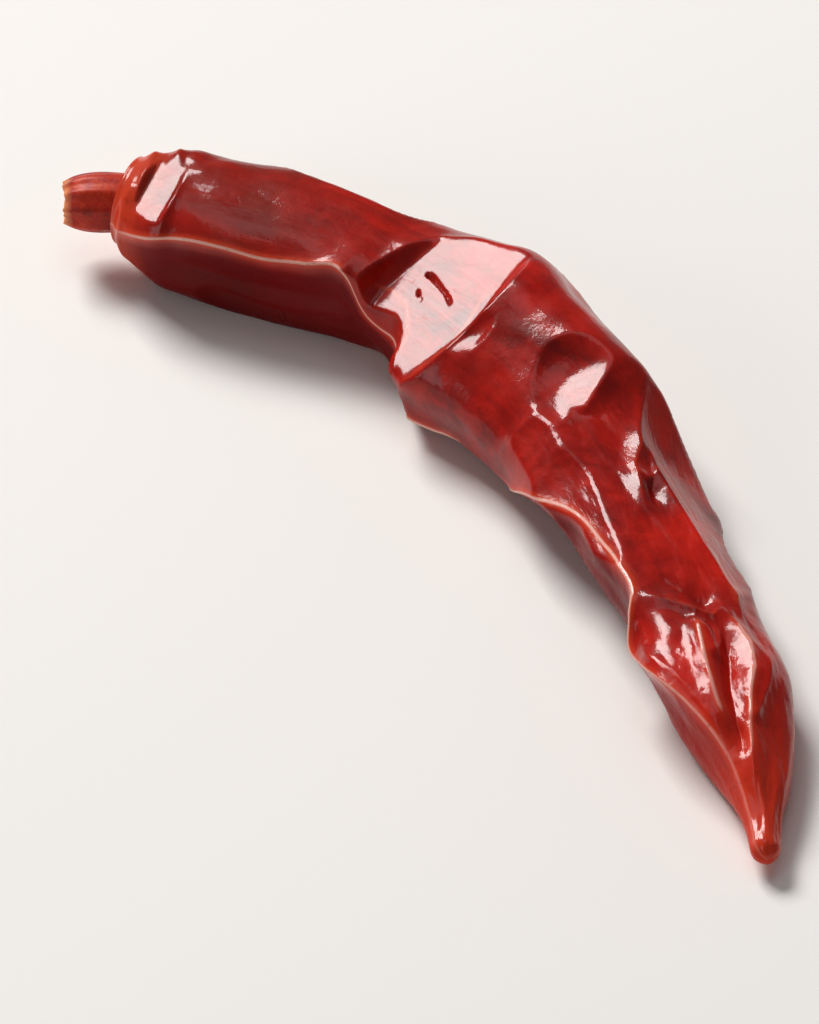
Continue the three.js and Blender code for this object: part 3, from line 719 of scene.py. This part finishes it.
def skin_material():
    """Glossy dried skin: oxblood and crimson in patches, browner near the stem, orange where thin, a painted
    highlight along the crests and a darker wall under the fold, partly painted shade.
    """
    material, nodes, links, shader = new_material("dried_skin")
    place = nodes.new("ShaderNodeTexCoord").outputs["Object"]
    far = number_on_skin(nodes, "along")
    raised = number_on_skin(nodes, "raised")
    shaded_wall = number_on_skin(nodes, "shaded_wall")
    patches = noise(nodes, links, place, PATCHES, 4, 0.6, 0.5)
    mottle = noise(nodes, links, place, MOTTLE, 4, 0.65, 0.8)
    streaks = noise(nodes, links, lengthwise(nodes, links), STREAKS, 4, 0.6, 0.6)
    specks = noise(nodes, links, place, SPECKS, 2, 0.6)
    browning = noise(nodes, links, place, BROWNING, 3, 0.55, 0.4)
    near_stem = grade(nodes, links, far, 0.05, 0.62, 0.95, 0.1)
    brown_share = arithmetic(nodes, links, "MULTIPLY", grade(nodes, links, browning, 0.36, 0.58), near_stem)
    umber_share = arithmetic(nodes, links, "MULTIPLY", grade(nodes, links, browning, 0.56, 0.70), near_stem)
    ends = ramp(nodes, links, far, ENDS)
    body = ramp(nodes, links, patches, [(0.36, OXBLOOD), (0.52, CRIMSON), (0.72, SCARLET)])
    layers = [
        (grade(nodes, links, mottle, 0.45, 0.75, 0, 0.5), SCARLET),
        (brown_share, BROWN),
        (umber_share, UMBER),
        (grade(nodes, links, streaks, 0.52, 0.72, 0, 0.3), SCARLET),
        (grade(nodes, links, streaks, 0.48, 0.30, 0, 0.4), OXBLOOD),
        # darker maroon on the wall under the fold: partly the skin's own colour, partly painted shade
        (arithmetic(nodes, links, "MULTIPLY", shaded_wall, 0.8), MAROON_AND_SHADE),
        (grade(nodes, links, raised, 0.55, 0.88, 0, 0.75), ORANGE),
        # pale pink on the crests of the raised lines: a painted highlight
        (grade(nodes, links, raised, 0.84, 0.95, 0, 0.9), PAINTED_EDGE_HIGHLIGHT),
        (grade(nodes, links, far, 0.74, 0.92, 0, 0.6), SCARLET),
        (arithmetic(nodes, links, "MULTIPLY", ends, 0.7), ORANGE),
        (grade(nodes, links, specks, 0.6, 0.75, 0, 0.35), OXBLOOD),
    ]
    for amount, colour in layers:
        body = mix(nodes, links, amount, body, colour)
    links.new(body, shader.inputs["Base Color"])
    gloss = grade(nodes, links, mottle, 0.3, 0.7, 0.26, 0.46)
    links.new(gloss, shader.inputs["Roughness"])
    shader.inputs["Specular IOR Level"].default_value = 0.08
    links.new(grade(nodes, links, shaded_wall, 0.0, 1.0, 0.48, 0.05), shader.inputs["Coat Weight"])
    shader.inputs["Coat Roughness"].default_value = 0.09
    shader.inputs["Subsurface Weight"].default_value = 0.12
    shader.inputs["Subsurface Radius"].default_value = (1.0, 0.14, 0.06)
    shader.inputs["Subsurface Scale"].default_value = 0.0012
    pores = noise(nodes, links, place, PORES, 3, 0.6)
    grain = noise(nodes, links, place, GRAIN, 4, 0.6, 0.5)
    coarse = arithmetic(nodes, links, "ADD", grain, streaks)
    relief = arithmetic(nodes, links, "MULTIPLY_ADD", pores, PORE_SHARE, coarse)
    bump = nodes.new("ShaderNodeBump")
    bump.inputs["Strength"].default_value = 0.2
    bump.inputs["Distance"].default_value = 0.00012
    links.new(relief, bump.inputs["Height"])
    links.new(bump.outputs["Normal"], shader.inputs["Normal"])
    links.new(bump.outputs["Normal"], shader.inputs["Coat Normal"])
    return material


def stub_points(share, angle, radius_share, shift):
    """Points on the stub: share of the way to the torn end, angle, share of its radius, and a shift."""
    inner = middle_at(np.array(STUB_DEPTH))[0]
    mouth = middle_at(np.array(0.0))[0]
    end = np.array(STUB_END, dtype=float)
    t = share[..., None]
    centre = (1 - t) ** 2 * inner + 2 * t * (1 - t) * mouth + t**2 * end
    ahead = 2 * (1 - t) * (mouth - inner) + 2 * t * (end - mouth)
    ahead = ahead / np.linalg.norm(ahead, axis=-1, keepdims=True)
    side = np.cross(ahead, UP)
    side = side / np.linalg.norm(side, axis=-1, keepdims=True)
    over = np.cross(side, ahead)
    wander = FLUTE_WANDER * np.sin(np.radians(3 * angle))
    flute = FLUTE_DEPTH * share * np.cos(np.radians(FLUTES * angle + wander))
    radius = (along(STUB_RADIUS, share) + flute) * radius_share
    across = (radius * np.cos(np.radians(angle)))[..., None]
    rise = (radius * np.sin(np.radians(angle)))[..., None]
    return centre + side * across + over * rise + ahead * shift[..., None]


def make_stub():
    angles = -360 * np.arange(STUB_COLUMNS) / STUB_COLUMNS
    share = np.linspace(0, 1, STUB_RINGS + 1)[:, None] + 0 * angles
    angle = angles + 0 * share
    torn = RIM_RAGGEDNESS * (ripple(share * 0, angle, 1, 36, RIM_SALT) - 0.5)
    threads = THREAD_DEPTH * ripple(share * 8, angle, 3, 60, THREAD_SALT) * smoothstep(share, 0.3, 0.5)
    outside = stub_points(share, angle, 1 - threads, torn * share**6)
    rim_share = 1 - RIM_WIDTH / along(STUB_RADIUS, 1)
    face_share = rim_share * np.linspace(1, 0.04, PITH_RINGS)[:, None] + 0 * angles
    face_angle = angles + 0 * face_share
    drop = smoothstep(rim_share - face_share, 0, PITH_EDGE)
    coarse = ripple(face_share * 6, face_angle, 1.1, 14, LUMP_SALT)
    lumps = PITH_LUMPS * (coarse + 0.5 * ripple(face_share * 14, face_angle, 1, 30, GRIT_SALT))
    shift = (1 - drop) * (torn[-1] - 0.05) + drop * (lumps - PITH_DEPTH)
    face = stub_points(0 * face_share + 1, face_angle, face_share, shift)
    points = np.concatenate([outside, face])
    pith = np.concatenate([0 * share, 0.2 + 0.8 * drop])
    far = np.concatenate([share, 0 * drop + 1])
    first = middle_at(np.array(STUB_DEPTH))[0]
    last = face[-1].mean(axis=0)
    return closed_mesh("stem_stub", points, first, last, {"pith": pith, "along": far})


def stub_material():
    """Dry, ribbed brown-orange stub with straw-coloured pith in its torn end."""
    material, nodes, links, shader = new_material("torn_stem")
    place = nodes.new("ShaderNodeTexCoord").outputs["Object"]
    pith = number_on_skin(nodes, "pith")
    far = number_on_skin(nodes, "along")
    stain = noise(nodes, links, place, STAINS, 4, 0.6, 0.6)
    fibre = noise(nodes, links, place, FIBRES, 3, 0.6, 0.2)
    bark = ramp(nodes, links, stain, BARK)
    bark = mix(nodes, links, grade(nodes, links, fibre, 0.5, 0.75, 0, 0.5), bark, BARK_THREADS)
    bark = mix(nodes, links, grade(nodes, links, far, 0.93, 0.99, 0, 0.7), bark, TORN_RIM)
    straw = ramp(nodes, links, stain, STRAW)
    links.new(mix(nodes, links, pith, bark, straw), shader.inputs["Base Color"])
    links.new(grade(nodes, links, fibre, 0.3, 0.7, 0.42, 0.75), shader.inputs["Roughness"])
    shader.inputs["Coat Weight"].default_value = 0.15
    shader.inputs["Specular IOR Level"].default_value = 0.2
    shader.inputs["Coat Roughness"].default_value = 0.25
    shader.inputs["Subsurface Weight"].default_value = 0.25
    shader.inputs["Subsurface Radius"].default_value = (1.0, 0.3, 0.12)
    shader.inputs["Subsurface Scale"].default_value = 0.0012
    bump = nodes.new("ShaderNodeBump")
    bump.inputs["Strength"].default_value = 0.5
    bump.inputs["Distance"].default_value = 0.00015
    links.new(fibre, bump.inputs["Height"])
    links.new(bump.outputs["Normal"], shader.inputs["Normal"])
    return material


def direction(azimuth, elevation):
    """Unit vector towards a viewer at an azimuth and elevation, azimuth 0 being -Y."""
    a, e = math.radians(azimuth), math.radians(elevation)
    return Vector((math.sin(a) * math.cos(e), -math.cos(a) * math.cos(e), math.sin(e)))


def make_camera(target):
    data = bpy.data.cameras.new("camera")
    data.sensor_width = SENSOR_HEIGHT
    data.lens = SENSOR_HEIGHT * CAMERA_DISTANCE / FRAME_HEIGHT
    data.clip_start = 0.01
    camera = bpy.data.objects.new("camera", data)
    camera.location = target + CAMERA_DISTANCE * direction(CAMERA_AZIMUTH, CAMERA_ELEVATION)
    camera.rotation_euler = (target - camera.location).to_track_quat("-Z", "Y").to_euler()
    bpy.context.scene.collection.objects.link(camera)
    bpy.context.scene.camera = camera


def make_light(name, azimuth, elevation, distance, width, height, power, color):
    """A soft panel aimed at the pod, its azimuth counted from the camera's."""
    data = bpy.data.lights.new(name, "AREA")
    data.shape = "RECTANGLE"
    data.size = width
    data.size_y = height
    data.energy = power
    data.color = color
    light = bpy.data.objects.new(name, data)
    light.location = distance * direction(CAMERA_AZIMUTH + azimuth, elevation)
    light.rotation_euler = (-light.location).to_track_quat("-Z", "Y").to_euler()
    bpy.context.scene.collection.objects.link(light)


def make_floor():
    mesh = bpy.data.meshes.new("floor")
    r = FLOOR_REACH
    corners = [(-r, -r, 0), (r, -r, 0), (r, r, 0), (-r, r, 0)]
    mesh.from_pydata(corners, [], [(0, 1, 2, 3)])
    floor = bpy.data.objects.new("floor", mesh)
    bpy.context.scene.collection.objects.link(floor)
    material, _, _, shader = new_material("pale_floor")
    shader.inputs["Base Color"].default_value = (*FLOOR_COLOUR, 1)
    shader.inputs["Roughness"].default_value = 0.6
    mesh.materials.append(material)


def make_world():
    bpy.context.scene.view_settings.view_transform = "Standard"
    world = bpy.data.worlds.new("room")
    world.use_nodes = True
    background = world.node_tree.nodes["Background"]
    background.inputs["Color"].default_value = (*ROOM_COLOUR, 1)
    background.inputs["Strength"].default_value = ROOM_LIGHT
    bpy.context.scene.world = world


pod_skin = make_pod_skin()
puckers, socket = pucker_tree()
values = {socket["Pucker width"]: PUCKER_WIDTH * MM, socket["Stretch"]: PUCKER_STRETCH}
values.update({socket["Seed"]: PUCKER_SEED, socket["Finish"]: skin_material()})
settle(pod_skin, puckers, values)
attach(pod_skin, "root")
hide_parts("pod")

stem_stub = make_stub()
stem_stub.data.materials.append(stub_material())
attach(stem_stub, "root")
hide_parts("stem_base")

make_floor()
make_world()
make_camera(Vector(CAMERA_TARGET))
for panel in PANELS:
    make_light(*panel)
